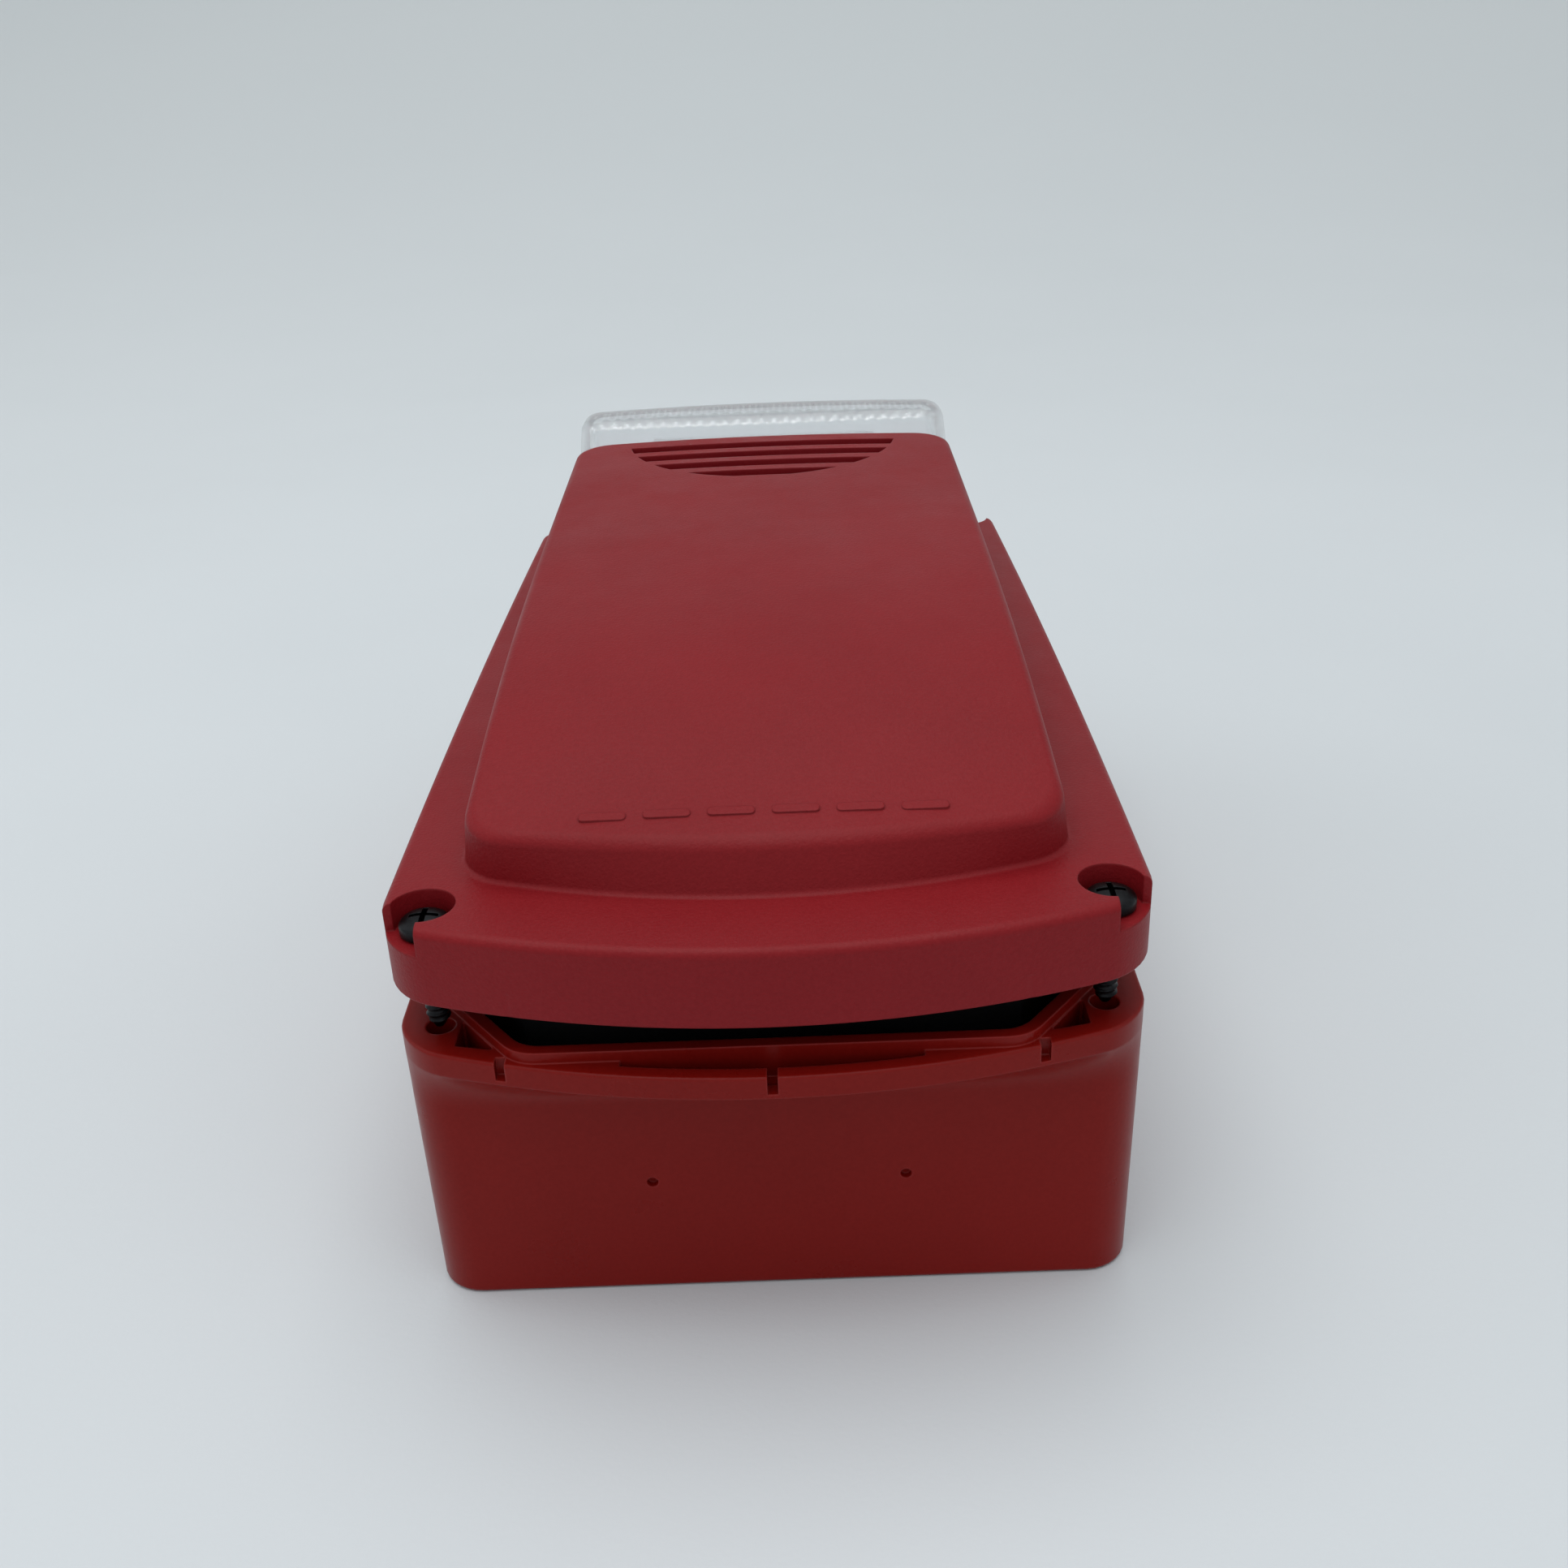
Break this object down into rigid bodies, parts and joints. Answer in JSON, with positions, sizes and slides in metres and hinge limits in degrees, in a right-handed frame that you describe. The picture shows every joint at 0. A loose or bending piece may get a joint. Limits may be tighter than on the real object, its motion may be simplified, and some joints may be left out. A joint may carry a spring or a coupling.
{
  "type": "horn strobe",
  "caption": "Red wall-mounted weatherproof horn strobe: bowed head with louvred sounder and clear flash lens, captive screws and deep surface-mount back box.",
  "frame": {"origin": "centre of the back box's wall face", "axes": "+X across the unit, +Y up the wall from the cable end to the strobe, +Z out of the wall"},
  "size_m": [0.127, 0.243, 0.1123],
  "materials": {
    "box_plastic": "moulded red plastic, smooth, lightly glossy",
    "cover_plastic": "moulded red plastic with a fine texture",
    "black_plastic": "moulded black plastic",
    "seal_rubber": "black foam rubber",
    "lens_clear": "clear polycarbonate lens",
    "tube_glass": "clear glass flash tube",
    "reflector_metal": "vacuum-metallised reflector",
    "board_laminate": "green solder mask",
    "capacitor_sleeve": "shrink sleeve",
    "ferrite": "sintered ferrite",
    "winding_copper": "enamelled copper winding",
    "brass_plate": "thin brass plate",
    "white_plastic": "natural white plastic",
    "piezo_white": "silvered piezo ceramic",
    "terminal_plastic": "green terminal plastic",
    "ground_green": "green-dyed zinc",
    "screen_steel": "blackened fine wire screen",
    "lead_red": "wire insulation",
    "lead_black": "wire insulation",
    "steel": "zinc-plated steel",
    "black_steel": "black-oxide steel"
  },
  "bodies": {
    "back_box": {"back_box": "box_plastic", "rear_entry_plug": "box_plastic", "ground_screw": "ground_green"},
    "head": {"board_screw_1": "steel", "board_screw_2": "steel", "board_screw_3": "steel", "board_screw_4": "steel", "candela_switch_body": "black_plastic", "driver_chip": "black_plastic", "flash_tube": "tube_glass", "front_cover": "cover_plastic", "insect_screen": "screen_steel", "lens_gasket": "seal_rubber", "main_board": "board_laminate", "option_switch_body": "black_plastic", "perimeter_gasket": "seal_rubber", "piezo_ceramic": "piezo_white", "piezo_plate": "brass_plate", "rear_cover": "black_plastic", "rear_cover_screw_1": "steel", "rear_cover_screw_2": "steel", "rear_cover_screw_3": "steel", "rear_cover_screw_4": "steel", "reflector": "reflector_metal", "screw_retainer_lower_left": "white_plastic", "screw_retainer_lower_right": "white_plastic", "screw_retainer_upper_left": "white_plastic", "screw_retainer_upper_right": "white_plastic", "sound_horn": "black_plastic", "sounder_housing": "black_plastic", "sounder_lead_left": "lead_red", "sounder_lead_right": "lead_black", "sounder_retainer": "white_plastic", "sounder_seal": "seal_rubber", "storage_capacitor": "capacitor_sleeve", "strobe_lens": "lens_clear", "terminal_block": "terminal_plastic", "terminal_screw_1": "steel", "terminal_screw_2": "steel", "terminal_screw_3": "steel", "terminal_screw_4": "steel", "transformer_core": "ferrite", "transformer_winding": "winding_copper", "trigger_coil": "white_plastic", "tube_electrode_left": "steel", "tube_electrode_right": "steel"},
    "screw_lower_left": {"cover_screw_lower_left": "black_steel"},
    "screw_lower_right": {"cover_screw_lower_right": "black_steel"},
    "screw_upper_left": {"cover_screw_upper_left": "black_steel"},
    "screw_upper_right": {"cover_screw_upper_right": "black_steel"},
    "tone_switch": {"tone_slider": "white_plastic"},
    "volume_switch": {"volume_slider": "white_plastic"},
    "candela_switch": {"candela_slider": "white_plastic"}
  },
  "joints": [
    {"name": "head_lift", "type": "slide", "parent": "back_box", "child": "head", "axis": [0, 0, 1], "range_m": [-0.009, 0.06]},
    {"name": "screw_lower_left_turn", "type": "hinge", "parent": "head", "child": "screw_lower_left", "pos_m": [-0.0556, -0.1035, 0.07], "axis": [0, 0, 1], "continuous": true},
    {"name": "screw_lower_right_turn", "type": "hinge", "parent": "head", "child": "screw_lower_right", "pos_m": [0.0556, -0.1035, 0.07], "axis": [0, 0, 1], "continuous": true},
    {"name": "screw_upper_left_turn", "type": "hinge", "parent": "head", "child": "screw_upper_left", "pos_m": [-0.0556, 0.1035, 0.07], "axis": [0, 0, 1], "continuous": true},
    {"name": "screw_upper_right_turn", "type": "hinge", "parent": "head", "child": "screw_upper_right", "pos_m": [0.0556, 0.1035, 0.07], "axis": [0, 0, 1], "continuous": true},
    {"name": "tone_select", "type": "slide", "parent": "head", "child": "tone_switch", "axis": [0, 1, 0], "range_m": [0, 0.003]},
    {"name": "volume_select", "type": "slide", "parent": "head", "child": "volume_switch", "axis": [0, 1, 0], "range_m": [0, 0.003]},
    {"name": "candela_select", "type": "slide", "parent": "head", "child": "candela_switch", "axis": [1, 0, 0], "range_m": [0, 0.0162]}
  ]
}
